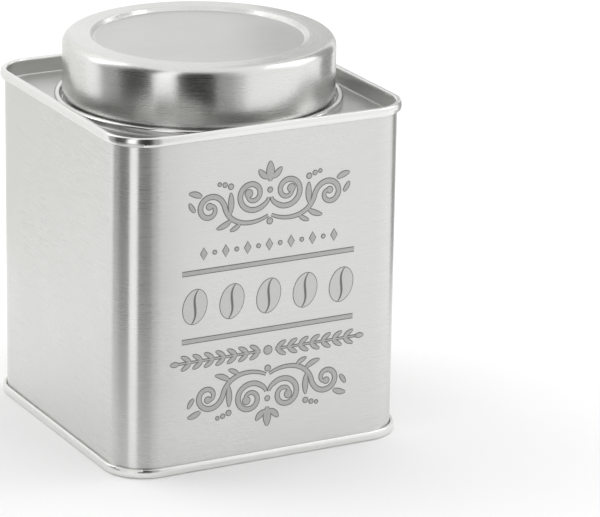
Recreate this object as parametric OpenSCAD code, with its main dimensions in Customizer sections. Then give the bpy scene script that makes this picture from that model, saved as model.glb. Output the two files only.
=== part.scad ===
// Square coffee tin with a round slip lid.
// The body is a folded sheet sleeve, closed by two double-seamed ends. The upper end is a sunken
// plate that carries a round neck, and the drawn lid slips over the neck.
// Units are millimetres. The origin is the centre of the base, on the surface the tin stands on,
// with +Z up and the decorated front towards -Y.

/* [Body] */
// Outside width of the square body, between flat walls
body_w = 102; // [80:1:140]
// Height from the standing surface to the crest of the upper seam
rim_h = 113.5; // [80:0.5:180]
// Outside radius of the body's upright corners
corner_r = 12.6; // [8:0.1:18]
// Thickness of the sheet that every metal piece is made from
sheet = 0.3; // [0.25:0.01:0.32]

/* [Seams] */
// How far both seams stand out from the body wall
seam_proud = 1.5; // [1.45:0.01:1.7]
// Height of each seam
seam_h = 3.1; // [2.9:0.05:4]
// Outside radius of the seam's rounded crest
crest_r = 0.8; // [0.7:0.05:1]
// Depth of the sunken upper plate below the crest of the upper seam
top_sink = 5.6; // [4.5:0.1:10]
// Height of the bottom panel above the standing surface
base_rise = 4.0; // [3.5:0.1:8]
// Width of the folded lock seam up the back
lock_w = 5; // [4:0.1:8]

/* [Neck] */
// Outside radius of the neck tube that the lid slips over
neck_r = 43.8; // [30:0.1:43.8]
// Height of the neck's rolled edge above the upper plate
neck_h = 16.1; // [12:0.1:30]
// Outside radius of the edge roll at the top of the neck
neck_roll_r = 0.9; // [0.7:0.05:1.2]
// Height of the bead that clinches the neck to the plate
bead_h = 3.0; // [2.6:0.1:3.4]
// Width of that bead
bead_w = 2.1; // [2:0.05:2.4]

/* [Lid] */
// Running clearance between the neck and the lid's hemmed edge
lid_clearance = 0.07; // [0.03:0.01:0.1]
// Height of the lid, from its hemmed edge to its crown
lid_h = 19.4; // [17:0.1:32]
// Outside radius of the roll that hems the lid's edge
hem_r = 0.42; // [0.4:0.01:0.6]
// Outside radius of the lid's shoulder
shoulder_r = 3.4; // [2:0.1:5]
// Radius of the flat panel sunk in the lid's crown
panel_r = 34.2; // [20:0.1:35]
// Depth of that panel below the crown
panel_sink = 1.4; // [0.8:0.1:2]
// Height of the seal ring in the lid
seal_h = 2.2; // [1.5:0.1:3]

/* [Hidden] */
$fn = 96;

half_w = body_w / 2;
half_sheet = sheet / 2;
tight = 0.05;                                   // gap between layers that are pressed together

// Mid-lines of the five sheet layers in a double seam, outwards from the body's outer face
wall_x = -half_sheet;
chuck_x = -sheet - tight - half_sheet;
outer_x = seam_proud - half_sheet;
end_hook_x = sheet;
body_hook_x = (end_hook_x + outer_x) / 2;

crest_bend = crest_r - half_sheet;
curl_bend = (outer_x - end_hook_x) / 2;
flange_bend = (body_hook_x - wall_x) / 2;
flange_y = sheet + 2 * tight + half_sheet + flange_bend;
curl_y = seam_h - half_sheet - curl_bend;
hook_end_y = flange_y + 2 * tight;
foot_bend = 2 * sheet;                          // bend from the chuck wall into the flat panel
foot_x = chuck_x - foot_bend;

plate_z = rim_h - top_sink;
base_step = 0.8;                                // the raised field stiffens the bottom panel
base_field_half = half_w - 13;
base_field_r = 8;
lock_pitch = sheet + tight;
jog_w = 4 * sheet;                              // run-out of the jog beside the lock seam
lock_foot = 2 * base_rise;                      // the lock seam is notched away at both ends
lock_top = rim_h - top_sink - base_rise;

bead_outer_r = neck_r + 3.5;
bead_r = bead_outer_r - bead_w / 2;
bead_bend = bead_w / 2 - half_sheet;
bead_z = plate_z + bead_h - bead_w / 2;
neck_mid_r = neck_r - half_sheet;
trough_bend = (bead_r - bead_bend - neck_mid_r) / 2;
trough_z = plate_z - sheet + half_sheet + trough_bend;
roll_bend = neck_roll_r - half_sheet;
neck_top = plate_z + neck_h;

hem_bend = hem_r - half_sheet;
skirt_r = neck_r + lid_clearance + 2 * hem_r;
skirt_mid_r = skirt_r - half_sheet;
skirt_z = plate_z + bead_h - 0.1;
crown_z = skirt_z + lid_h;
shoulder_bend = shoulder_r - half_sheet;
crown_r = skirt_r - shoulder_r;
step_bend = panel_sink / 2;                     // two quarter bends drop the crown to the panel
seal_outer_r = skirt_r - sheet - tight;
seal_inner_r = neck_r - 2 * neck_roll_r - 0.5;

// A straight stretch of sheet in section, given by its mid-line
module run(from, to) {
    along = to - from;
    translate(from)
        rotate(atan2(along.y, along.x))
            translate([0, -half_sheet])
                square([norm(along), sheet]);
}

// A bent stretch of sheet in section, about a centre, with its mid-line at radius r
module bend(centre, r, start, end) {
    reach = 2 * (r + sheet);
    steps = ceil((end - start) / 45);
    translate(centre)
        intersection() {
            difference() {
                circle(r + half_sheet);
                circle(r - half_sheet);
            }
            polygon(concat([[0, 0]], [
                for (i = [0:steps])
                    let (a = start + (end - start) * i / steps)
                    reach * [cos(a), sin(a)]
            ]));
        }
}

// Carries a section round the square body. The section's x runs outwards from the body's outer face.
module around_body() {
    straight = half_w - corner_r;
    for (turn = [0:90:270])
        rotate(turn) {
            translate([-straight, half_w, 0])
                rotate([90, 0, 90])
                    linear_extrude(2 * straight)
                        children();
            translate([straight, straight, 0])
                rotate_extrude(angle = 90)
                    translate([corner_r, 0])
                        children();
        }
}

// A square with true round corners
module rounded_square(half, r) {
    square([2 * half, 2 * (half - r)], center = true);
    square([2 * (half - r), 2 * half], center = true);
    for (x = [-1, 1], y = [-1, 1])
        translate([x, y] * (half - r))
            circle(r);
}

// The body's plan, moved in from its outer face
module body_outline(inset) {
    rounded_square(half_w - inset, corner_r - inset);
}

// Section of an end's seam: chuck wall, crest, outer wall, curl and hook.
// The crest is at y = 0 and the tin lies below it.
module end_section(sink) {
    foot_y = -sink - half_sheet + foot_bend;
    bend([foot_x, foot_y], foot_bend, 270, 360);
    run([chuck_x, foot_y], [chuck_x, -crest_r]);
    bend([chuck_x + crest_bend, -crest_r], crest_bend, 90, 180);
    run([chuck_x + crest_bend, -half_sheet], [outer_x - crest_bend, -half_sheet]);
    bend([outer_x - crest_bend, -crest_r], crest_bend, 0, 90);
    run([outer_x, -crest_r], [outer_x, -curl_y]);
    bend([outer_x - curl_bend, -curl_y], curl_bend, 180, 360);
    run([end_hook_x, -curl_y], [end_hook_x, -hook_end_y]);
}

// Section of the flange that the body turns out inside the seam
module body_hook_section() {
    bend([wall_x + flange_bend, -flange_y], flange_bend, 0, 180);
    run([body_hook_x, -flange_y], [body_hook_x, -curl_y]);
}

// Section of the sealing compound between the two hooks
module compound_section() {
    inner = end_hook_x + half_sheet + tight / 2;
    outer = body_hook_x - half_sheet - tight / 2;
    translate([inner, -curl_y])
        square([outer - inner, curl_y - hook_end_y]);
}

// Plan of the lock seam: two folded edges of the sleeve, hooked into each other
module lock_section() {
    layer = [for (i = [0:3]) half_w - half_sheet - i * lock_pitch];
    outer_fold = lock_w / 2;
    inner_fold = -lock_w / 2 + sheet;
    hook_gap = 2 * sheet;
    run([inner_fold, layer[0]], [outer_fold, layer[0]]);
    bend([outer_fold, layer[1]], lock_pitch, -90, 90);
    run([outer_fold, layer[2]], [inner_fold + hook_gap, layer[2]]);
    run([outer_fold - hook_gap, layer[1]], [inner_fold, layer[1]]);
    bend([inner_fold, layer[2]], lock_pitch, 90, 270);
    run([inner_fold, layer[3]], [outer_fold + sheet, layer[3]]);
    lock_jog(outer_fold + sheet, layer[3], layer[0]);
}

// The jog that brings the inner edge of the lock seam back out to the face of the wall
module lock_jog(x, inner_y, outer_y) {
    polygon([
        [x, inner_y - half_sheet],
        [x + jog_w, outer_y - half_sheet],
        [x + jog_w, outer_y + half_sheet],
        [x, inner_y + half_sheet]
    ]);
}

module body_wall() {
    cut_x = lock_w / 2;
    color("gainsboro") {
        difference() {
            around_body() {
                translate([0, rim_h])
                    body_hook_section();
                mirror([0, 1])
                    body_hook_section();
                run([wall_x, flange_y], [wall_x, rim_h - flange_y]);
            }
            translate([cut_x, half_w - 2 * sheet, lock_foot])
                cube([sheet + jog_w, 3 * sheet, lock_top - lock_foot]);
        }
        translate([0, 0, lock_foot])
            linear_extrude(lock_top - lock_foot)
                lock_section();
    }
}

module base_plate() {
    color("silver") {
        around_body()
            mirror([0, 1])
                end_section(base_rise);
        translate([0, 0, base_rise])
            linear_extrude(sheet)
                difference() {
                    body_outline(-foot_x);
                    rounded_square(base_field_half, base_field_r);
                }
        translate([0, 0, base_rise])
            linear_extrude(base_step + sheet)
                difference() {
                    rounded_square(base_field_half, base_field_r);
                    rounded_square(base_field_half - sheet, base_field_r - sheet);
                }
        translate([0, 0, base_rise + base_step])
            linear_extrude(sheet)
                rounded_square(base_field_half - sheet, base_field_r - sheet);
    }
}

module base_seam_compound() {
    color("dimgray")
        around_body()
            mirror([0, 1])
                compound_section();
}

module top_plate() {
    flange_r = bead_r - half_sheet;
    color("gainsboro") {
        translate([0, 0, rim_h])
            around_body()
                end_section(top_sink);
        translate([0, 0, plate_z - sheet])
            linear_extrude(sheet)
                difference() {
                    body_outline(-foot_x);
                    circle(flange_r);
                }
        translate([0, 0, plate_z - sheet])
            difference() {
                cylinder(h = bead_h - 2 * tight, r = flange_r + sheet);
                translate([0, 0, -1])
                    cylinder(h = bead_h + 2, r = flange_r);
            }
    }
}

module top_seam_compound() {
    color("dimgray")
        translate([0, 0, rim_h])
            around_body()
                compound_section();
}

module neck_collar() {
    color("lightgray")
        rotate_extrude() {
            run([bead_r + bead_bend, plate_z], [bead_r + bead_bend, bead_z]);
            bend([bead_r, bead_z], bead_bend, 0, 180);
            run([bead_r - bead_bend, bead_z], [bead_r - bead_bend, trough_z]);
            bend([neck_mid_r + trough_bend, trough_z], trough_bend, 180, 360);
            run([neck_mid_r, trough_z], [neck_mid_r, neck_top - neck_roll_r]);
            bend([neck_r - neck_roll_r, neck_top - neck_roll_r], roll_bend, 0, 270);
        }
}

module lid_shell() {
    panel_y = crown_z - panel_sink - half_sheet;
    crown_y = crown_z - half_sheet;
    step_outer_r = panel_r + 2 * step_bend;
    color("gainsboro")
        rotate_extrude() {
            run([0, panel_y], [panel_r, panel_y]);
            bend([panel_r, panel_y + step_bend], step_bend, 270, 360);
            bend([step_outer_r, panel_y + step_bend], step_bend, 90, 180);
            run([step_outer_r, crown_y], [crown_r, crown_y]);
            bend([crown_r, crown_z - shoulder_r], shoulder_bend, 0, 90);
            run([skirt_mid_r, crown_z - shoulder_r], [skirt_mid_r, skirt_z + hem_r]);
            bend([skirt_r - hem_r, skirt_z + hem_r], hem_bend, 90, 360);
        }
}

module lid_seal() {
    bevel = seal_h / 3;
    color("white")
        translate([0, 0, neck_top + tight])
            rotate_extrude()
                polygon([
                    [seal_inner_r, 0],
                    [seal_outer_r, 0],
                    [seal_outer_r, seal_h - bevel],
                    [seal_outer_r - bevel, seal_h],
                    [seal_inner_r, seal_h]
                ]);
}

body_wall();
base_plate();
base_seam_compound();
top_plate();
top_seam_compound();
neck_collar();
lid_shell();
lid_seal();
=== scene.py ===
# %% [markdown]
# # A square coffee tin with a round slip lid
#
# The real tin is folded, rolled and drawn from brushed tinplate about 0.3 mm thick. A sleeve, two
# ends and a neck are joined into the body, a fifth sheet is drawn into the lid, a soft ring seals
# it, and an ornament is printed on the front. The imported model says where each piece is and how
# big. Here the sheet-metal pieces are drawn again the way a tinsmith makes them, by bending a
# strip in section and carrying it round the tin, because a clean grid of faces gives brushed metal
# the smooth, even reflections it needs.

# %% The frame
import math

import bmesh
import bpy
from mathutils import Matrix, Vector
from mathutils.geometry import interpolate_bezier


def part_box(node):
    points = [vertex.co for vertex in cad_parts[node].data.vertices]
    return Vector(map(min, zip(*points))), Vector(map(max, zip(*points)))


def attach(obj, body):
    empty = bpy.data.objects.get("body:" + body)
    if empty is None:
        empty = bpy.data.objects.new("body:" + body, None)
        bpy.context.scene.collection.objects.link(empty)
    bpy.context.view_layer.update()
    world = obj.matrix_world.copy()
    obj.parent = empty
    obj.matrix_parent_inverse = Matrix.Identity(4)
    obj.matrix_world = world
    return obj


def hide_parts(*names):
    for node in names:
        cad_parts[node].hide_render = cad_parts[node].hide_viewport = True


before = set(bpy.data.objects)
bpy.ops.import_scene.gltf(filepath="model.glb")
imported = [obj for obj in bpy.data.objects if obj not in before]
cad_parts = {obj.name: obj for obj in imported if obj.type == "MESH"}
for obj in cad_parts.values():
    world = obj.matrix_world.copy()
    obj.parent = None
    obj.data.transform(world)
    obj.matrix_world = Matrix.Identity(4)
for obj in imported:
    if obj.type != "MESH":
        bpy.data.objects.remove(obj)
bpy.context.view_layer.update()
print("nodes:", sorted(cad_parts))

# %% [markdown]
# ## Sizes
#
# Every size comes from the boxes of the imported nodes, with the few that a box can't tell, such as
# the thickness of the sheet, named once here. A section is drawn along the middle of the sheet,
# so each size is taken to the mid-line, half a sheet in from the surface. Sheets that are pressed
# together keep a tight gap, because faces that share a plane would flicker in a render.

# %% Sizes from the frame
MM = 0.001
SHEET = 0.3 * MM
HALF_SHEET = SHEET / 2
TIGHT = 0.05 * MM

plate_low, plate_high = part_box("top_plate")
collar_low, collar_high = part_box("neck_collar")
lid_low, lid_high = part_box("lid_shell")
seal_low, seal_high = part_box("lid_seal")

SEAM_PROUD = 1.5 * MM
SEAM_H = 3.1 * MM
CREST_R = 0.8 * MM
CORNER_R = 12.6 * MM
WALL_HALF = plate_high.x - SEAM_PROUD
STRAIGHT = WALL_HALF - CORNER_R
RIM_Z = plate_high.z
PLATE_Z = plate_low.z + SHEET
BASE_RISE = 4.0 * MM

print("body", round(2 * WALL_HALF / MM, 2), "mm wide, rim", round(RIM_Z / MM, 2), "mm up")
print("neck from", round(collar_low.z / MM, 2), "to", round(collar_high.z / MM, 2), "mm up")
print("seal ring from", round(seal_low.z / MM, 2), "to", round(seal_high.z / MM, 2), "mm up")

# %% [markdown]
# ## Drawing a section
#
# A tinsmith's section is straight runs and bends, so two small helpers draw it with a pen point:
# `run` extrudes the point to a new place, and `bend` spins it round a centre. The section lies in
# the XZ plane, where x is the distance from the tin's axis. A polyline of typed-in points could
# give the same outline, but then a bend would be a table of numbers instead of a radius.

# %% Pen helpers
BEND_STEP = 15


def run(bm, tip, x, z):
    """Draws the section straight on to (x, z) and returns the new tip."""
    made = bmesh.ops.extrude_vert_indiv(bm, verts=[tip])
    tip = made["verts"][0]
    tip.co = Vector((x, 0, z))
    return tip


def bend(bm, tip, x, z, turn, step=BEND_STEP):
    """Carries the tip round the centre (x, z) by turn degrees, anticlockwise, and returns it."""
    made = bmesh.ops.spin(
        bm, geom=[tip], cent=(x, 0, z), axis=(0, -1, 0), angle=math.radians(turn),
        steps=max(2, round(abs(turn) / step)), use_merge=False, use_duplicate=False,
    )
    return next(part for part in made["geom_last"] if isinstance(part, bmesh.types.BMVert))


def section_of(bm):
    """Everything drawn so far, as the geometry that a sweep carries."""
    return bm.verts[:] + bm.edges[:]


# %% [markdown]
# ## Sweeping it
#
# Round pieces are a full spin of the section. Square ones are carried along a flat, spun a quarter
# turn at a corner, and so on until they meet themselves. That is how a seaming roller travels, and
# it keeps the faces in neat rows along the metal's grain.

# %% Sweep helpers
TURN_STEPS = 128
CORNER_STEPS = 14
FLAT_STEPS = 8
WELD = 0.001 * MM


def weld(bm):
    """Joins the seam and the poles of a sweep, and turns its faces one way."""
    bmesh.ops.remove_doubles(bm, verts=bm.verts, dist=WELD)
    bmesh.ops.dissolve_degenerate(bm, edges=bm.edges, dist=WELD)
    bmesh.ops.recalc_face_normals(bm, faces=bm.faces)


def spin_round(bm):
    """Spins the section once round the tin's axis."""
    bmesh.ops.spin(
        bm, geom=section_of(bm), cent=(0, 0, 0), axis=(0, 0, 1), angle=2 * math.pi,
        steps=TURN_STEPS, use_merge=True, use_duplicate=False,
    )
    weld(bm)


def slide_on(bm, geom, travel, steps):
    """Extrudes the front edge of a sweep along a flat and returns the new front edge."""
    for _ in range(steps):
        edges = [part for part in geom if isinstance(part, bmesh.types.BMEdge)]
        made = bmesh.ops.extrude_edge_only(bm, edges=edges)["geom"]
        verts = [part for part in made if isinstance(part, bmesh.types.BMVert)]
        bmesh.ops.translate(bm, verts=verts, vec=Vector(travel) / steps)
        front = set(verts)
        geom = verts + [
            part for part in made
            if isinstance(part, bmesh.types.BMEdge) and set(part.verts) <= front
        ]
    return geom


def carry_round_body(bm):
    """Carries the section once round the square body, from the middle of the right-hand side."""
    geom = section_of(bm)
    for quarter in range(4):
        turn = Matrix.Rotation(quarter * math.pi / 2, 3, "Z")
        geom = slide_on(bm, geom, turn @ Vector((0, STRAIGHT, 0)), FLAT_STEPS // 2)
        geom = bmesh.ops.spin(
            bm, geom=geom, cent=turn @ Vector((STRAIGHT, STRAIGHT, 0)), axis=(0, 0, 1),
            angle=math.pi / 2, steps=CORNER_STEPS, use_merge=False, use_duplicate=False,
        )["geom_last"]
        geom = slide_on(bm, geom, turn @ Vector((-STRAIGHT, 0, 0)), FLAT_STEPS // 2)
    weld(bm)


# %% [markdown]
# ## Finishing a piece
#
# The swept surface is the middle of the sheet. A Solidify modifier gives it the sheet's thickness
# on both sides. The grain map is a UV layer whose first direction runs round the tin, the way the
# brush went, and whose second runs across it. Materials use it to draw the brush lines and to
# stretch the highlights across them. Where a sheet has two finishes, the faces of the second one
# are picked by their place.

# %% Piece helpers
def lay_grain(bm, radius, across):
    """A UV layer in metres: round the axis along the brush lines, and across(r, z) across them."""
    layer = bm.loops.layers.uv.new("grain")
    length = 2 * math.pi * radius
    for face in bm.faces:
        around = [math.atan2(loop.vert.co.x, -loop.vert.co.y) * radius for loop in face.loops]
        wraps = max(around) - min(around) > length / 2
        for loop, along in zip(face.loops, around):
            if wraps and along < 0:
                along += length
            co = loop.vert.co
            loop[layer].uv = (along, across(math.hypot(co.x, co.y), co.z))


def in_plan(co, half):
    """Whether a place lies within a square of half this width about the axis, seen from above."""
    return max(abs(co.x), abs(co.y)) <= half


def choose_finish(bm, second):
    """Gives the second material slot to every face whose middle makes second(co) true."""
    for face in bm.faces:
        face.material_index = int(second(face.calc_center_median()))


def finish_piece(name, bm, body, replaced=None, wall=None):
    """Makes the object, gives it a wall of sheet when one is asked for, ties it to its body and hides
    the imported node it replaces.
    """
    for face in bm.faces:
        face.smooth = True
    mesh = bpy.data.meshes.new(name)
    bm.to_mesh(mesh)
    bm.free()
    piece = bpy.data.objects.new(name, mesh)
    bpy.context.scene.collection.objects.link(piece)
    if wall:
        modifier = piece.modifiers.new("wall", "SOLIDIFY")
        modifier.thickness = wall
        modifier.offset = 0
        modifier.use_even_offset = True
    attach(piece, body)
    if replaced:
        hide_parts(replaced)
    print(name, "has", len(mesh.polygons), "faces")
    return piece


# %% [markdown]
# ## Materials: adding nodes
#
# A colour is written as the sRGB hex value a painter would pick, and turned into the linear value
# that the shader works in. `add` puts a node in a tree with its settings and its links in one call.

# %% Material helpers
def linear(code):
    """An sRGB hex colour as linear red, green, blue and full alpha."""
    parts = [int(code[i:i + 2], 16) / 255 for i in (1, 3, 5)]
    return tuple(p / 12.92 if p <= 0.04045 else ((p + 0.055) / 1.055) ** 2.4 for p in parts) + (1,)


def add(tree, kind, settings=None, **inputs):
    """Adds a node. A socket given as (node, output) is linked, and any other value is set."""
    made = tree.nodes.new(kind)
    for key, value in (settings or {}).items():
        setattr(made, key, value)
    for key, value in inputs.items():
        socket = made.inputs[int(key[1:])] if key[1:].isdigit() else made.inputs[key.replace("_", " ")]
        if isinstance(value, tuple) and isinstance(value[0], bpy.types.Node):
            tree.links.new(value[0].outputs[value[1]], socket)
        else:
            socket.default_value = value
    return made


def new_material(name):
    """An empty node material with its output."""
    material = bpy.data.materials.new(name)
    material.use_nodes = True
    material.node_tree.nodes.clear()
    return material, material.node_tree


# %% [markdown]
# ## Brushed tinplate
#
# Tinplate is thin steel with a film of tin, brushed with an abrasive belt and lacquered clear. The
# belt leaves fine parallel scratches. A scratch scatters light sideways but hardly lengthways, so
# highlights stretch across the grain: that is the shader's Anisotropic value. The grain itself is
# noise pulled out long along the brush lines. Real scratches are some 0.05 mm wide, too fine to
# see from a metre off, so they are drawn a few times coarser. Slow clouds in the roughness come
# from the belt's uneven pressure, and rare dull pits are specks caught under the lacquer.

# %% Brushed tinplate
GRAIN_LONG = 14 * MM
GRAIN_WIDE = 0.16 * MM
CLOUD = 22 * MM
SPECK = 1.4 * MM


def brushed_tinplate(name, code, roughness, stretch):
    """Brushed, clear-lacquered tinplate whose lines follow the piece's grain map."""
    material, tree = new_material(name)
    grain_map = add(tree, "ShaderNodeUVMap", {"uv_map": "grain"})
    lengths = add(
        tree, "ShaderNodeMapping", Vector=(grain_map, "UV"),
        Scale=(1 / GRAIN_LONG, 1 / GRAIN_WIDE, 1),
    )
    lines = add(
        tree, "ShaderNodeTexNoise", {"noise_dimensions": "2D"}, Vector=(lengths, "Vector"),
        Scale=1.0, Detail=3.0, Roughness=0.6,
    )
    place = add(tree, "ShaderNodeTexCoord")
    clouds = add(
        tree, "ShaderNodeTexNoise", Vector=(place, "Object"), Scale=1 / CLOUD, Detail=2.0,
    )
    specks = add(
        tree, "ShaderNodeTexNoise", Vector=(place, "Object"), Scale=1 / SPECK, Detail=1.0,
    )
    pits = add(
        tree, "ShaderNodeMapRange", Value=(specks, "Fac"),
        From_Min=0.76, From_Max=0.82, To_Min=0.0, To_Max=1.0,
    )
    tone = add(
        tree, "ShaderNodeMapRange", Value=(lines, "Fac"),
        From_Min=0.25, From_Max=0.75, To_Min=0.93, To_Max=1.03,
    )
    colour = add(
        tree, "ShaderNodeVectorMath", {"operation": "SCALE"}, _0=linear(code)[:3],
        Scale=(tone, "Result"),
    )
    satin = add(
        tree, "ShaderNodeMapRange", Value=(lines, "Fac"),
        From_Min=0.25, From_Max=0.75, To_Min=roughness - 0.05, To_Max=roughness + 0.05,
    )
    cloudy = add(
        tree, "ShaderNodeMapRange", Value=(clouds, "Fac"),
        From_Min=0.3, From_Max=0.7, To_Min=-0.03, To_Max=0.03,
    )
    rough = add(
        tree, "ShaderNodeMath", {"operation": "ADD"}, _0=(satin, "Result"), _1=(cloudy, "Result"),
    )
    dull = add(
        tree, "ShaderNodeMath", {"operation": "MULTIPLY_ADD"}, _0=(pits, "Result"), _1=0.25,
        _2=(rough, "Value"),
    )
    relief = add(tree, "ShaderNodeBump", Height=(lines, "Fac"), Strength=0.25, Distance=0.01 * MM)
    tangent = add(tree, "ShaderNodeTangent", {"direction_type": "UV_MAP", "uv_map": "grain"})
    metal = add(
        tree, "ShaderNodeBsdfPrincipled", Metallic=1.0, Base_Color=(colour, "Vector"),
        Roughness=(dull, "Value"), Anisotropic=stretch, Anisotropic_Rotation=0.25,
        Normal=(relief, "Normal"), Tangent=(tangent, "Tangent"),
    )
    add(tree, "ShaderNodeOutputMaterial", Surface=(metal, "BSDF"))
    return material


# Belt-brushed before it was folded: broad, soft bands of light up each corner.
wall_tinplate = brushed_tinplate("brushed_tinplate_wall", "#D8D8D6", 0.30, 0.75)
# Brushed on a lathe after it was drawn: brighter, with sharper bands round the skirt.
lid_tinplate = brushed_tinplate("brushed_tinplate_lid", "#E0E0DE", 0.27, 0.75)
# Rolled rather than brushed hard: the brightest sheet, with little stretch in its highlights.
neck_tinplate = brushed_tinplate("brushed_tinplate_neck", "#E2E2E0", 0.22, 0.40)
print("brushed:", wall_tinplate.name, lid_tinplate.name, neck_tinplate.name)


# %% [markdown]
# ## Rolled tinplate
#
# The two ends and the lid's panel keep the plain finish of the rolling mill, a faint straight grain
# that reads Object coordinates because it runs the same way across the whole sheet. It has no
# Anisotropic value, which would draw a bright spoke across a flat round panel.

# %% Rolled tinplate
def rolled_tinplate(name, code, roughness):
    """Satin tinplate with a faint straight grain along X."""
    material, tree = new_material(name)
    place = add(tree, "ShaderNodeTexCoord")
    lengths = add(
        tree, "ShaderNodeMapping", Vector=(place, "Object"),
        Scale=(1 / GRAIN_LONG, 0.5 / GRAIN_WIDE, 0.5 / GRAIN_WIDE),
    )
    lines = add(tree, "ShaderNodeTexNoise", Vector=(lengths, "Vector"), Scale=1.0, Detail=3.0)
    clouds = add(tree, "ShaderNodeTexNoise", Vector=(place, "Object"), Scale=1 / CLOUD, Detail=2.0)
    tone = add(
        tree, "ShaderNodeMapRange", Value=(lines, "Fac"),
        From_Min=0.25, From_Max=0.75, To_Min=0.95, To_Max=1.03,
    )
    colour = add(
        tree, "ShaderNodeVectorMath", {"operation": "SCALE"}, _0=linear(code)[:3],
        Scale=(tone, "Result"),
    )
    satin = add(
        tree, "ShaderNodeMapRange", Value=(clouds, "Fac"),
        From_Min=0.3, From_Max=0.7, To_Min=roughness - 0.03, To_Max=roughness + 0.04,
    )
    relief = add(tree, "ShaderNodeBump", Height=(lines, "Fac"), Strength=0.05, Distance=0.01 * MM)
    metal = add(
        tree, "ShaderNodeBsdfPrincipled", Metallic=1.0, Base_Color=(colour, "Vector"),
        Roughness=(satin, "Result"), Normal=(relief, "Normal"),
    )
    add(tree, "ShaderNodeOutputMaterial", Surface=(metal, "BSDF"))
    return material


# The seaming roller burnishes the seams, so they are bright lines round the tin.
seam_tinplate = rolled_tinplate("burnished_tinplate_seam", "#ECECEA", 0.22)
# The sunken plate was never brushed: an even satin grey that mirrors the lid softly.
plate_tinplate = rolled_tinplate("satin_tinplate_plate", "#D4D4D2", 0.36)
# The lid's panel is a little duller still, and shows almost no reflections.
panel_tinplate = rolled_tinplate("rolled_tinplate_lid_panel", "#CDCDCB", 0.34)
print("rolled:", seam_tinplate.name, plate_tinplate.name, panel_tinplate.name)


# %% [markdown]
# ## Inside lacquer, screen ink, rubber and polyethylene
#
# A tin for food is lacquered inside. The lacquer is translucent, so it is part metal and part pale
# paint: pure metal could only mirror its own dark inside. The ornament is printed through a screen
# in matt grey inks. They are thin, so some of the metal's shine comes through, which is why they
# are part metallic too. The seam compound is a dull rubber film, and the seal ring is a soft white
# polyethylene. One function makes them all, because each is an even colour with a fine mottle.

# %% Lacquer, ink, compound and seal
INK_GRIT = 0.25 * MM


def matt_finish(name, code, roughness, spread, grit=INK_GRIT, metallic=0.0):
    """A matt, slightly mottled finish."""
    material, tree = new_material(name)
    place = add(tree, "ShaderNodeTexCoord")
    mottle = add(tree, "ShaderNodeTexNoise", Vector=(place, "Object"), Scale=1 / grit, Detail=3.0)
    tone = add(
        tree, "ShaderNodeMapRange", Value=(mottle, "Fac"),
        From_Min=0.3, From_Max=0.7, To_Min=1 - spread, To_Max=1 + spread,
    )
    colour = add(
        tree, "ShaderNodeVectorMath", {"operation": "SCALE"}, _0=linear(code)[:3],
        Scale=(tone, "Result"),
    )
    relief = add(tree, "ShaderNodeBump", Height=(mottle, "Fac"), Strength=0.3, Distance=0.02 * MM)
    surface = add(
        tree, "ShaderNodeBsdfPrincipled", Metallic=metallic, Base_Color=(colour, "Vector"),
        Roughness=roughness, Normal=(relief, "Normal"),
    )
    add(tree, "ShaderNodeOutputMaterial", Surface=(surface, "BSDF"))
    return material


# Lacquer lights up the inside evenly, with a soft sheen.
inside_lacquer = matt_finish(
    "satin_lacquer_inside", "#E4E4E0", 0.40, 0.02, grit=2 * MM, metallic=0.35,
)
# Three inks: a grainy mid grey, a dark one for the keylines, and a smoother pale one for the beans.
ink_fill = matt_finish("screen_ink_mid_grey", "#B4B4B3", 0.55, 0.10, metallic=0.5)
ink_line = matt_finish("screen_ink_dark_grey", "#767675", 0.55, 0.06, metallic=0.5)
ink_pale = matt_finish("screen_ink_pale_grey", "#CACAC9", 0.50, 0.06, metallic=0.6)
# Rubber is dark and dull, and polyethylene is milky with a slight gloss.
seam_rubber = matt_finish("seam_compound_rubber", "#5A5A58", 0.8, 0.08)
soft_polyethylene = matt_finish("soft_polyethylene_seal", "#E8E8E2", 0.45, 0.02, grit=3 * MM)
print("coated:", inside_lacquer.name, ink_fill.name, ink_line.name, ink_pale.name)
print("soft:", seam_rubber.name, soft_polyethylene.name)


# %% [markdown]
# ## The seams
#
# A double seam joins each end to the sleeve: the edge of the end is rolled over the sleeve's
# flange, and both are hooked together and pressed flat. Only the rolled outside shows. The end's
# section starts at the edge of its flat panel, climbs the chuck wall, goes over the crest, down the
# outside and hooks back up. The hollow of the seaming roller leaves the outside slightly bowed.

# %% End section
BOW = 0.14 * MM
CHUCK_X = WALL_HALF - SHEET - TIGHT - HALF_SHEET
OUTER_X = WALL_HALF + SEAM_PROUD - HALF_SHEET - BOW - WELD
END_HOOK_X = WALL_HALF + SHEET
BODY_HOOK_X = (END_HOOK_X + OUTER_X) / 2
CREST_BEND = CREST_R - HALF_SHEET
CURL_BEND = (OUTER_X - END_HOOK_X) / 2
FOOT_BEND = 2 * SHEET
CURL_Y = SEAM_H - HALF_SHEET - CURL_BEND
FLANGE_BEND = (BODY_HOOK_X - WALL_HALF + HALF_SHEET) / 2
FLANGE_Y = SHEET + 2 * TIGHT + HALF_SHEET + FLANGE_BEND
HOOK_END_Y = FLANGE_Y + 2 * TIGHT


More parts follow.
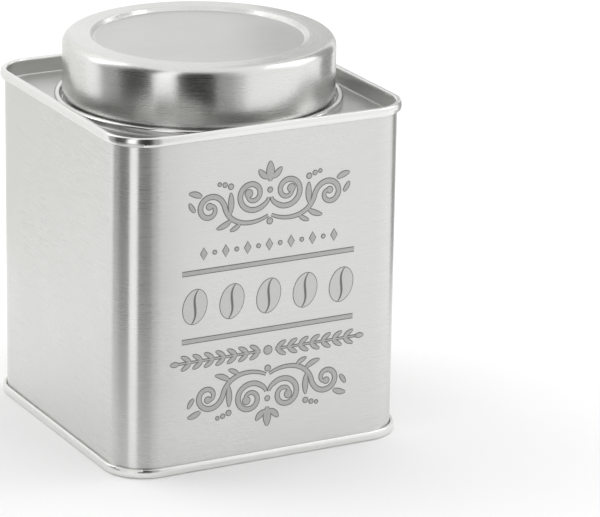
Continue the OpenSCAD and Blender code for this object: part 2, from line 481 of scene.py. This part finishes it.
def draw_end(bm, crest, panel, up):
    """Draws an end's section from its panel out, with the seam's crest at one height.

    up is 1 for the upper end and -1 for the bottom one, whose section is the same upside down."""
    tip = bm.verts.new((CHUCK_X - FOOT_BEND, 0, panel))
    tip = bend(bm, tip, CHUCK_X - FOOT_BEND, panel + up * FOOT_BEND, up * 90)
    tip = run(bm, tip, CHUCK_X, crest - up * CREST_R)
    tip = bend(bm, tip, CHUCK_X + CREST_BEND, crest - up * CREST_R, -up * 90)
    tip = run(bm, tip, OUTER_X - CREST_BEND, crest - up * HALF_SHEET)
    tip = bend(bm, tip, OUTER_X - CREST_BEND, crest - up * CREST_R, -up * 90)
    half_face = (CURL_Y - CREST_R) / 2
    bow_r = (half_face ** 2 + BOW ** 2) / (2 * BOW)
    bow_turn = 2 * math.degrees(math.asin(half_face / bow_r))
    tip = bend(bm, tip, OUTER_X + BOW - bow_r, crest - up * (CREST_R + half_face), -up * bow_turn, 6)
    tip = bend(bm, tip, OUTER_X - CURL_BEND, crest - up * CURL_Y, -up * 180, 30)
    run(bm, tip, END_HOOK_X, crest - up * HOOK_END_Y)


# %% [markdown]
# ## Top plate
#
# The upper end is a square pan with a round hole. The seam is swept first, which leaves a square
# loop where the flat begins. The loop is extruded and its points are drawn in to the hole's radius,
# each along its own line to the axis, and the hole's edge is turned up so that the neck can be
# clinched over it. Bridging the square to a circle could join their points with a twist. A Weighted
# Normal modifier lets the flats, not the small bends beside them, decide how the flats shade.

# %% Top plate
BEAD_W = 2.1 * MM
BEAD_R = collar_high.x - BEAD_W / 2
BEAD_H = 3.0 * MM


def open_loop(bm, inside):
    """The open edges of a sweep on whose both ends inside(co) is true."""
    return [
        edge for edge in bm.edges
        if edge.is_boundary and all(inside(vert.co) for vert in edge.verts)
    ]


def build_top_plate():
    """The sunken upper end: seam, chuck wall, flat and turned-up hole."""
    bm = bmesh.new()
    panel_z = PLATE_Z - HALF_SHEET
    draw_end(bm, RIM_Z, panel_z, 1)
    carry_round_body(bm)
    square = open_loop(bm, lambda co: abs(co.z - panel_z) < WELD)
    hole = slide_on(bm, square, (0, 0, 0), 1)
    for part in hole:
        if isinstance(part, bmesh.types.BMVert):
            part.co.xy = part.co.xy.normalized() * BEAD_R
    slide_on(bm, hole, (0, 0, BEAD_H - SHEET), 2)
    bmesh.ops.recalc_face_normals(bm, faces=bm.faces)
    choose_finish(bm, lambda co: in_plan(co, WALL_HALF) and co.z < RIM_Z - 2 * CREST_R)
    plate = finish_piece("top_plate_sheet", bm, "tin", "top_plate", SHEET)
    plate.data.materials.append(seam_tinplate)
    plate.data.materials.append(plate_tinplate)
    plate.modifiers.new("flats", "WEIGHTED_NORMAL")
    return plate


build_top_plate()

# %% [markdown]
# ## Base plate
#
# The bottom end has the same seam upside down. Its panel stands a few millimetres clear of the
# table, with a raised square field that stiffens it. The panel's loop is extruded and scaled in to
# the field's outline, lifted for the step, and then filled. The panel takes the inside lacquer.

# %% Base plate
FIELD_SHARE = 0.76
FIELD_LIFT = 0.8 * MM


def draw_in(bm, geom, share, lift):
    """Extrudes a loop, scales it towards the axis and lifts it. Returns the new loop."""
    loop = slide_on(bm, geom, (0, 0, lift), 1)
    verts = [part for part in loop if isinstance(part, bmesh.types.BMVert)]
    bmesh.ops.scale(bm, verts=verts, vec=(share, share, 1))
    return loop


def build_base_plate():
    """The bottom end: seam, chuck wall and stepped panel."""
    bm = bmesh.new()
    panel_z = BASE_RISE + HALF_SHEET
    draw_end(bm, 0, panel_z, -1)
    carry_round_body(bm)
    square = open_loop(bm, lambda co: abs(co.z - panel_z) < WELD)
    field = draw_in(bm, square, FIELD_SHARE, 0)
    field = draw_in(bm, field, 1 - FIELD_LIFT / WALL_HALF, FIELD_LIFT)
    bmesh.ops.contextual_create(bm, geom=field)
    bmesh.ops.recalc_face_normals(bm, faces=bm.faces)
    choose_finish(bm, lambda co: in_plan(co, CHUCK_X) and co.z > BASE_RISE / 2)
    plate = finish_piece("base_plate_sheet", bm, "tin", "base_plate", SHEET)
    plate.data.materials.append(seam_tinplate)
    plate.data.materials.append(inside_lacquer)
    plate.modifiers.new("flats", "WEIGHTED_NORMAL")
    return plate


build_base_plate()

# %% [markdown]
# ## The sleeve and its lock seam
#
# The wall is one strip folded round a square former. Its ends are hooked into each other up the
# middle of the back and pressed flat: a lock seam, four sheets thick on the inside and almost flush
# outside. The wall is swept as a closed ring first. Two cuts with a plane mark where the seam
# starts and stops, the faces between them come out, and the free edges are folded as the machine
# folds them. The faces look outwards, so that the back of the sheet takes the second finish, the
# inside lacquer.

# %% Sleeve
LOCK_HALF = 2.5 * MM
LOCK_PITCH = SHEET + TIGHT
JOG_W = 4 * SHEET
LOCK_FOOT = 2 * BASE_RISE
LOCK_TOP = PLATE_Z - BASE_RISE
LAYERS = [WALL_HALF - HALF_SHEET - i * LOCK_PITCH for i in range(4)]


def cut(bm, co, normal):
    """Slices the back of the sleeve with a plane, without removing anything."""
    back = [face for face in bm.faces if face.calc_center_median().y > STRAIGHT]
    parts = {part for face in back for part in (*face.verts, *face.edges)}
    bmesh.ops.bisect_plane(bm, geom=list(parts) + back, plane_co=co, plane_no=normal, dist=WELD)


def fold_on(bm, edges, stops):
    """Folds a free upright edge on through the places (x, y), seen from above."""
    for x, y in stops:
        made = bmesh.ops.extrude_edge_only(bm, edges=edges)["geom"]
        front = {part for part in made if isinstance(part, bmesh.types.BMVert)}
        for vert in front:
            vert.co.x = x
            vert.co.y = y
        edges = [
            part for part in made
            if isinstance(part, bmesh.types.BMEdge) and set(part.verts) <= front
        ]


def half_turn(x, y, radius):
    """Places on a half circle about (x, y), from its +Y end round by way of +X."""
    angles = [math.radians(degrees) for degrees in range(30, 181, 30)]
    return [(x + radius * math.sin(a), y + radius * math.cos(a)) for a in angles]


def build_sleeve():
    """The folded body sheet, flanged at both ends and locked up the back."""
    bm = bmesh.new()
    wall_x = WALL_HALF - HALF_SHEET
    flange_x = wall_x + FLANGE_BEND
    tip = bm.verts.new((BODY_HOOK_X, 0, CURL_Y))
    tip = run(bm, tip, BODY_HOOK_X, FLANGE_Y)
    tip = bend(bm, tip, flange_x, FLANGE_Y, -180, 30)
    tip = run(bm, tip, wall_x, RIM_Z - FLANGE_Y)
    tip = bend(bm, tip, flange_x, RIM_Z - FLANGE_Y, -180, 30)
    run(bm, tip, BODY_HOOK_X, RIM_Z - CURL_Y)
    carry_round_body(bm)
    left, right = LOCK_HALF, LOCK_HALF + SHEET + JOG_W
    for x in (left, right):
        cut(bm, (x, 0, 0), (1, 0, 0))
    for z in (LOCK_FOOT, LOCK_TOP):
        cut(bm, (0, 0, z), (0, 0, 1))
    slot = [
        face for face in bm.faces
        if face.calc_center_median().y > STRAIGHT
        and left < face.calc_center_median().x < right
        and LOCK_FOOT < face.calc_center_median().z < LOCK_TOP
    ]
    bmesh.ops.delete(bm, geom=slot, context="FACES")
    outer, inner = (
        open_loop(bm, lambda co, x=x: co.y > STRAIGHT and abs(co.x - x) < WELD) for x in (left, right)
    )
    hook = 2 * SHEET
    inner_fold = -LOCK_HALF + SHEET
    fold_on(bm, outer, half_turn(left, LAYERS[1], LOCK_PITCH) + [(inner_fold + hook, LAYERS[2])])
    fold_on(bm, inner, [(left + SHEET, LAYERS[3]), (inner_fold, LAYERS[3])])
    inner = open_loop(bm, lambda co: abs(co.x - inner_fold) < WELD and abs(co.y - LAYERS[3]) < WELD)
    fold_on(bm, inner, half_turn(inner_fold, LAYERS[2], -LOCK_PITCH) + [(left - hook, LAYERS[1])])
    bmesh.ops.recalc_face_normals(bm, faces=bm.faces)
    flat = max(bm.faces, key=lambda face: face.calc_area())
    if flat.normal.dot(flat.calc_center_median()) < 0:
        bmesh.ops.reverse_faces(bm, faces=bm.faces)
    lay_grain(bm, WALL_HALF, lambda r, z: z)
    sleeve = finish_piece("body_sleeve", bm, "tin", "body_wall", SHEET)
    sleeve.data.materials.append(wall_tinplate)
    sleeve.data.materials.append(inside_lacquer)
    sleeve.modifiers["wall"].material_offset = 1
    return sleeve


build_sleeve()

# %% [markdown]
# ## Neck
#
# The neck is a tube whose lower edge is rolled over the turned-up hole, which makes the round bead
# that shows under the lid. Its upper edge is rolled inwards so that it can't cut a hand.

# %% Neck
NECK_R = 43.8 * MM
ROLL_R = 0.9 * MM


def build_neck():
    """The neck: clinching bead, trough, tube and rolled edge."""
    bm = bmesh.new()
    bead_bend = BEAD_W / 2 - HALF_SHEET
    bead_z = PLATE_Z + BEAD_H - BEAD_W / 2
    tube = NECK_R - HALF_SHEET
    trough_bend = (BEAD_R - bead_bend - tube) / 2
    trough_z = PLATE_Z - HALF_SHEET + trough_bend
    tip = bm.verts.new((BEAD_R + bead_bend, 0, PLATE_Z))
    tip = run(bm, tip, BEAD_R + bead_bend, bead_z)
    tip = bend(bm, tip, BEAD_R, bead_z, 180)
    tip = run(bm, tip, BEAD_R - bead_bend, trough_z)
    tip = bend(bm, tip, tube + trough_bend, trough_z, -180)
    tip = run(bm, tip, tube, collar_high.z - ROLL_R)
    bend(bm, tip, NECK_R - ROLL_R, collar_high.z - ROLL_R, 270)
    spin_round(bm)
    lay_grain(bm, NECK_R, lambda r, z: z - r)
    neck = finish_piece("neck_ring", bm, "tin", "neck_collar", SHEET)
    neck.data.materials.append(neck_tinplate)
    return neck


build_neck()

# %% [markdown]
# ## Lid
#
# The lid is drawn from one round blank. Its crown carries a flat panel, stepped down inside a
# narrow flat ring. A full shoulder turns down into the skirt, and the skirt's edge is hemmed
# inwards, so it slides on the neck without scratching it.

# %% Lid
PANEL_R = 34.2 * MM
PANEL_SINK = 1.4 * MM
STEP_BEND = 0.7 * MM
STEP_SLOPE = 50
SHOULDER_R = 3.4 * MM
HEM_R = 0.42 * MM


def build_lid():
    """The slip lid: sunken panel, sloped step, crown, shoulder, skirt and hem."""
    bm = bmesh.new()
    skirt_r = lid_high.x
    crown = lid_high.z - HALF_SHEET
    panel = crown - PANEL_SINK
    slope = math.radians(STEP_SLOPE)
    rise = PANEL_SINK - 2 * STEP_BEND * (1 - math.cos(slope))
    step = 2 * STEP_BEND * math.sin(slope) + rise / math.tan(slope)
    tip = bm.verts.new((0, 0, panel))
    for share in (0.25, 0.5, 0.75, 1):
        tip = run(bm, tip, share * PANEL_R, panel)
    tip = bend(bm, tip, PANEL_R, panel + STEP_BEND, STEP_SLOPE)
    tip = run(bm, tip, tip.co.x + rise / math.tan(slope), tip.co.z + rise)
    tip = bend(bm, tip, PANEL_R + step, crown - STEP_BEND, -STEP_SLOPE)
    tip = run(bm, tip, skirt_r - SHOULDER_R, crown)
    tip = bend(bm, tip, skirt_r - SHOULDER_R, lid_high.z - SHOULDER_R, -90, 6)
    tip = run(bm, tip, skirt_r - HALF_SHEET, lid_low.z + HEM_R)
    bend(bm, tip, skirt_r - HEM_R, lid_low.z + HEM_R, -270, 30)
    spin_round(bm)
    lay_grain(bm, skirt_r, lambda r, z: r - z)
    choose_finish(bm, lambda co: math.hypot(co.x, co.y) < PANEL_R)
    lid = finish_piece("slip_lid", bm, "lid", "lid_shell", SHEET)
    lid.data.materials.append(lid_tinplate)
    lid.data.materials.append(panel_tinplate)
    return lid


build_lid()

# %% [markdown]
# ## Printing the front
#
# The front carries a screen-printed ornament: a flourish above and below, and between two bars a
# row of coffee beans. The ink is a few hundredths of a millimetre thick, so it is made as what it
# is, thin plates lying on the wall. A dark ink is printed first, a little wider, and leaves a
# keyline round the grey that covers it. Curve objects could draw the strokes too, but a stroke's
# width changes along it, and a narrow grid laid along a path does that with one formula. Places are
# in millimetres across and up, and `grow` widens a shape by so many millimetres all round.

# %% Ink helpers
DARK_INK = 0.04 * MM
GREY_INK = 0.07 * MM
KEYLINE = 0.30
BEAN_KEYLINE = 0.12
STROKE_STEPS = 28
HAIR = 5e-6 * MM


def place_ink(bm, verts, spots):
    """Moves flat verts to their spots on the front, in millimetres across and up.

    Each shape lies a hair above the last, so that no two share a plane where they cross."""
    level = -HAIR * len(bm.faces)
    for vert, spot in zip(verts, spots):
        vert.co = (spot[0] * MM, level, spot[1] * MM)


def stroke(bm, path, width, grow):
    """Lays a narrow grid along a path. width(t) is half the stroke's width, t from 0 to 1."""
    last = len(path) - 1
    strip = bmesh.ops.create_grid(bm, x_segments=1, y_segments=last, size=1)["verts"]
    spots = []
    for vert in strip:
        i = round((vert.co.y + 1) / 2 * last)
        ahead = path[min(i + 1, last)] - path[max(i - 1, 0)]
        across = Vector((ahead.y, -ahead.x)).normalized() * (width(i / last) + grow)
        spots.append(path[i] + across * vert.co.x)
    place_ink(bm, strip, spots)


def dot(bm, centre, radius, grow, squash=1.0, turn=0.0, sides=24):
    """A round or oval spot, its long way up before it is turned."""
    disc = bmesh.ops.create_circle(bm, cap_ends=True, segments=sides, radius=1)["verts"]
    wide, tall = radius * squash + grow, radius + grow
    spin = Matrix.Rotation(math.radians(turn), 2)
    place_ink(bm, disc, [centre + spin @ Vector((v.co.x * wide, v.co.y * tall)) for v in disc])


def curve(start, lean, pull, end):
    """A Bezier path between two places, with its two handles."""
    knots = [Vector((*knot, 0)) for knot in (start, lean, pull, end)]
    return [Vector(point[:2]) for point in interpolate_bezier(*knots, STROKE_STEPS)]


def volute(centre, wide, tight, start, turn):
    """A spiral path that closes in from one radius to another over turn degrees."""
    path = []
    steps = int(abs(turn) / 9)
    for i in range(steps + 1):
        share = i / steps
        angle = math.radians(start + turn * share)
        radius = wide + (tight - wide) * share ** 0.8
        path.append(Vector(centre) + radius * Vector((math.cos(angle), math.sin(angle))))
    return path


def swell(thin, thick):
    """A stroke that is thin at its ends and thick in the middle, like a pen's."""
    return lambda t: thin + (thick - thin) * math.sin(math.pi * t) ** 0.8


# %% [markdown]
# ## The motifs
#
# Each motif is drawn for the right-hand half and mirrored. They are stock printer's ornament:
# a volute, a vine with leaves, berries, a garland, and a row of beans with their S-shaped crease.

# %% Motifs
def leaf(bm, grow, root, tip, sway, thick):
    """A pointed leaf from root to tip, bowed sideways by sway."""
    root, tip = Vector(root), Vector(tip)
    side = Vector((root.y - tip.y, tip.x - root.x)).normalized() * sway
    middle = (root + tip) / 2 + side
    path = curve(root, (root + middle) / 2 + side / 2, (tip + middle) / 2 + side / 2, tip)
    stroke(bm, path, lambda t: thick * math.sin(math.pi * min(1, 0.04 + t * 0.96)) ** 0.9, grow)


def mirror_across(bm, before):
    """Copies every face that isn't in before to the other side of the tin's middle."""
    faces = [face for face in bm.faces if face not in before]
    parts = {part for face in faces for part in (*face.verts, *face.edges)}
    bmesh.ops.mirror(bm, geom=list(parts) + faces, axis="X", merge_dist=-1)


def flourish(bm, grow, middle, up):
    """A pair of volutes with a vine either side. up is 1, or -1 to hang it upside down."""
    before = set(bm.faces)
    heart = curve((0.5, -0.4), (0.7, -1.9), (1.9, -2.7), (3.6, -3.6))
    heart += volute((6.4, 1.2), 5.6, 1.3, -120, 500)[1:]
    vine = curve((0.6, -6.4), (6.0, -9.4), (14.9, -8.6), (16.2, -1.2))
    vine += volute((21.4, -1.9), 5.2, 1.1, 172, -450)[1:]
    leaves = [
        ((0.7, 6.0), (4.0, 9.2), -0.5, 0.85), ((14.2, -4.4), (14.0, 2.8), 0.3, 0.85),
        ((13.8, -6.2), (19.0, -8.6), -0.6, 0.75), ((10.6, -7.9), (14.2, -9.9), -0.4, 0.6),
        ((24.2, 2.6), (28.8, 4.2), 0.5, 0.8), ((26.5, -2.0), (28.6, 1.2), -0.3, 0.6),
    ]
    spots = [
        (heart[-1], 1.25), (vine[-1], 1.0),
        ((14.0, 4.8), 0.8), ((16.1, 5.6), 0.65), ((18.0, 6.0), 0.5),
    ]

    def place(point):
        return Vector((point[0], middle + up * point[1]))

    for path in (heart, vine):
        stroke(bm, [place(point) for point in path], swell(0.3, 0.72), grow)
    for root, tip, sway, thick in leaves:
        leaf(bm, grow, place(root), place(tip), up * sway, thick)
    for centre, radius in spots:
        dot(bm, place(centre), radius, grow)
    mirror_across(bm, before)
    leaf(bm, grow, place((0, 4.8)), place((0, 11.6)), 0, 1.25)
    dot(bm, place((0, 2.0)), 0.75, grow)
    dot(bm, place((0, -8.4)), 0.9, grow)


def lozenges(bm, grow):
    """The narrow row above the upper bar: lozenges and dots by turns."""
    for i in range(-6, 7):
        centre = Vector((i * LOZENGE_PITCH, LOZENGE_Z))
        if i % 2:
            dot(bm, centre, 0.55, grow)
        else:
            dot(bm, centre, 1.9, grow, squash=0.55, sides=4)


def garland(bm, grow):
    """The row below the lower bar: a stem with pairs of leaves, facing the middle."""
    before = set(bm.faces)
    for i in range(GARLAND_PAIRS):
        x = 3.2 + i * GARLAND_PITCH
        for way in (1, -1):
            leaf(bm, grow, (x, GARLAND_Z), (x + 3.4, GARLAND_Z + way * 2.3), way * 0.35, 0.62)
    end = 3.2 + GARLAND_PAIRS * GARLAND_PITCH
    leaf(bm, grow, (end, GARLAND_Z), (end + 3.2, GARLAND_Z), 0, 0.7)
    stroke(bm, [Vector((x, GARLAND_Z)) for x in (2.6, end + 0.4)], lambda t: 0.22, grow)
    mirror_across(bm, before)
    dot(bm, Vector((0, GARLAND_Z)), 1.35, grow)


def bars(bm, grow):
    """The two straight bars that frame the beans."""
    for z in BAR_Z:
        stroke(bm, [Vector((-BAR_HALF, z)), Vector((BAR_HALF, z))], lambda t: 0.62, grow)


def beans(bm, grow):
    """The row of beans, each leaning a little."""
    for i in range(-2, 3):
        centre = Vector((i * BEAN_PITCH, BEAN_Z))
        dot(bm, centre, BEAN_HALF, grow, squash=0.72, turn=BEAN_LEAN, sides=48)


def creases(bm, grow):
    """The S-shaped crease down each bean."""
    for i in range(-2, 3):
        centre = Vector((i * BEAN_PITCH, BEAN_Z))
        spin = Matrix.Rotation(math.radians(BEAN_LEAN), 2)
        knots = [(0.1, -BEAN_HALF), (2.7, -1.6), (-2.7, 1.6), (-0.1, BEAN_HALF)]
        stroke(bm, curve(*[centre + spin @ Vector(knot) for knot in knots]), swell(0.12, 0.42), grow)


# %% [markdown]
# ## Inking
#
# Every motif is drawn twice, once wider in dark ink and once in grey on top. The beans have a third,
# paler ink, and a dark crease over it.

# %% Inking
BAR_HALF = 30.9
BAR_Z = (67.1, 44.3)
LOZENGE_PITCH = 3.9
LOZENGE_Z = 73.0
BEAN_PITCH = 13.2
BEAN_Z = 55.7
BEAN_HALF = 5.9
BEAN_LEAN = -14
GARLAND_Z = 37.2
GARLAND_PITCH = 4.1
GARLAND_PAIRS = 7
UPPER_FLOURISH_Z = 89.2
LOWER_FLOURISH_Z = 22.6


def scrollwork(bm, grow):
    """Everything on the front but the beans."""
    flourish(bm, grow, UPPER_FLOURISH_Z, 1)
    flourish(bm, grow, LOWER_FLOURISH_Z, -1)
    lozenges(bm, grow)
    garland(bm, grow)
    bars(bm, grow)


def print_ink(name, draw, grow, thickness, material):
    """Draws with one ink and lays it on the front wall."""
    bm = bmesh.new()
    draw(bm, grow)
    bm.normal_update()
    bmesh.ops.reverse_faces(bm, faces=[face for face in bm.faces if face.normal.y > 0])
    bmesh.ops.translate(bm, verts=bm.verts, vec=(0, -WALL_HALF - thickness / 2, 0))
    layer = finish_piece(name, bm, "tin", wall=thickness)
    layer.data.materials.append(material)
    for polygon in layer.data.polygons:
        polygon.use_smooth = False
    return layer


print_ink("print_dark_keyline", scrollwork, KEYLINE, DARK_INK, ink_line)
print_ink("print_grey_fill", scrollwork, 0, GREY_INK, ink_fill)
print_ink("print_bean_keyline", beans, BEAN_KEYLINE, DARK_INK, ink_line)
print_ink("print_bean_fill", beans, -BEAN_KEYLINE, GREY_INK, ink_pale)
print_ink("print_bean_crease", creases, 0, GREY_INK + DARK_INK / 2, ink_line)

# %% [markdown]
# ## Seal ring and seam compound
#
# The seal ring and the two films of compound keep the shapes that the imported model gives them. They
# only need their finishes.

# %% Seal and compound
def refinish(node, material):
    """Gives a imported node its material."""
    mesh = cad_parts[node].data
    mesh.materials.clear()
    mesh.materials.append(material)
    print(node, "is now", material.name)


refinish("lid_seal", soft_polyethylene)
refinish("base_seam_compound", seam_rubber)
refinish("top_seam_compound", seam_rubber)

# %% [markdown]
# ## Floor, light and camera
#
# The tin stands on a plain pale floor under soft light. Brushed metal shows what surrounds it, so
# a photographer stands dark cards round a tin, out of the picture. They draw the upright bands on
# the corners and the lid. The bands fade towards the foot, where the metal sees the floor instead.
# A painted environment could hold the same cards, but it is infinitely far away and would not fade.

# %% Floor
FLOOR_SIZE = 12.0
PAPER_GRIT = 50 * MM
bm = bmesh.new()
bmesh.ops.create_grid(bm, x_segments=1, y_segments=1, size=FLOOR_SIZE / 2)
floor_mesh = bpy.data.meshes.new("floor")
bm.to_mesh(floor_mesh)
bm.free()
floor = bpy.data.objects.new("floor", floor_mesh)
bpy.context.scene.collection.objects.link(floor)
floor.data.materials.append(matt_finish("white_paper", "#F2F2F2", 0.9, 0.0, grit=PAPER_GRIT))
print("floor", FLOOR_SIZE, "m square")

# %% Cards
CARD_AWAY = 200 * MM
CARD_TALL = 420 * MM
CARD_STEPS = 12


def stand_card(name, start, end, material):
    """A card bent round the tin between two bearings, in degrees from the front.

    It shows in reflections only."""
    bm = bmesh.new()
    run(bm, bm.verts.new((CARD_AWAY, 0, 0)), CARD_AWAY, CARD_TALL)
    bmesh.ops.spin(
        bm, geom=section_of(bm), cent=(0, 0, 0), axis=(0, 0, 1), angle=math.radians(end - start),
        steps=CARD_STEPS, use_merge=False, use_duplicate=False,
    )
    turn = Matrix.Rotation(math.radians(start - 90), 3, "Z")
    bmesh.ops.rotate(bm, verts=bm.verts, cent=(0, 0, 0), matrix=turn)
    mesh = bpy.data.meshes.new(name)
    bm.to_mesh(mesh)
    bm.free()
    card = bpy.data.objects.new(name, mesh)
    bpy.context.scene.collection.objects.link(card)
    card.data.materials.append(material)
    card.visible_camera = False
    card.visible_diffuse = False
    card.visible_shadow = False
    print(name, "stands from", start, "to", end, "degrees")


def card_paper(name, code):
    """Matt card."""
    return matt_finish(name, code, 0.9, 0.0, grit=PAPER_GRIT)


def lit_cloth(name, strength):
    """The cloth of a strip light."""
    material, tree = new_material(name)
    glow = add(tree, "ShaderNodeEmission", Color=(1, 1, 1, 1), Strength=strength)
    add(tree, "ShaderNodeOutputMaterial", Surface=(glow, "Emission"))
    return material


stand_card("left_card", -180, -125, card_paper("left_card_paper", "#F4F4F2"))
stand_card("grey_card", -108, -88, card_paper("grey_card_paper", "#A2A2A2"))
stand_card("dark_card", -88, -61, card_paper("dark_card_paper", "#3E3E3E"))
stand_card("strip_light", -60, -44, lit_cloth("strip_light_cloth", 1.35))
stand_card("black_card", -43, -14, card_paper("black_card_paper", "#1C1C1C"))
stand_card("pale_card", -14, 0, card_paper("pale_card_paper", "#A0A0A0"))
stand_card("white_card", 0, 8, card_paper("white_card_paper", "#C8C8C8"))
stand_card("side_card", 84, 110, card_paper("side_card_paper", "#9C9C9C"))
stand_card("back_card", 120, 147, card_paper("back_card_paper", "#D6D6D6"))

# %% Surroundings
SURROUND_LIGHT = 1.0
world = bpy.data.worlds.new("white_studio")
world.use_nodes = True
world.node_tree.nodes.clear()
white = add(world.node_tree, "ShaderNodeBackground", Color=(1, 1, 1, 1), Strength=SURROUND_LIGHT)
add(world.node_tree, "ShaderNodeOutputWorld", Surface=(white, "Background"))
bpy.context.scene.world = world
print("world light", SURROUND_LIGHT)

# %% Softboxes
SOFTBOX_AWAY = 1.7
SOFTBOX_WIDE = 1.1


def hang_softbox(name, bearing, up, power):
    """A square softbox aimed at the tin, at a bearing from the front and an angle up, in degrees."""
    lamp = bpy.data.lights.new(name, "AREA")
    lamp.shape = "SQUARE"
    lamp.size = SOFTBOX_WIDE
    lamp.energy = power
    box = bpy.data.objects.new(name, lamp)
    bearing, up = math.radians(bearing), math.radians(up)
    level = math.cos(up)
    away = Vector((math.sin(bearing) * level, -math.cos(bearing) * level, math.sin(up)))
    box.location = away * SOFTBOX_AWAY
    box.rotation_mode = "QUATERNION"
    box.rotation_quaternion = away.to_track_quat("Z", "Y")
    box.visible_camera = False
    bpy.context.scene.collection.objects.link(box)
    print(name, "gives", power, "W")


hang_softbox("softbox_left", -140, 42, 5.5)
hang_softbox("softbox_right", 86, 42, 5.5)

# %% Camera
CAMERA_PLACE = Vector((-534.1, -1062.4, 446.6)) * MM
LOOK_BEARING = math.radians(-28.33)
LOOK_DOWN = math.radians(18.30)
CAMERA_ROLL = math.radians(0.99)
LENS = 226.4

look = Vector((
    -math.sin(LOOK_BEARING) * math.cos(LOOK_DOWN),
    math.cos(LOOK_BEARING) * math.cos(LOOK_DOWN),
    -math.sin(LOOK_DOWN),
))
camera_data = bpy.data.cameras.new("camera")
camera_data.lens = LENS
camera_data.sensor_width = 36
camera_data.clip_end = 50
camera = bpy.data.objects.new("camera", camera_data)
camera.rotation_mode = "QUATERNION"
roll = Matrix.Rotation(CAMERA_ROLL, 3, "Z").to_quaternion()
camera.rotation_quaternion = look.to_track_quat("-Z", "Y") @ roll
camera.location = CAMERA_PLACE
bpy.context.scene.collection.objects.link(camera)
bpy.context.scene.camera = camera

bpy.context.scene.view_settings.view_transform = "Standard"
print("camera", round(CAMERA_PLACE.length, 2), "m from the tin's foot, lens", LENS, "mm")
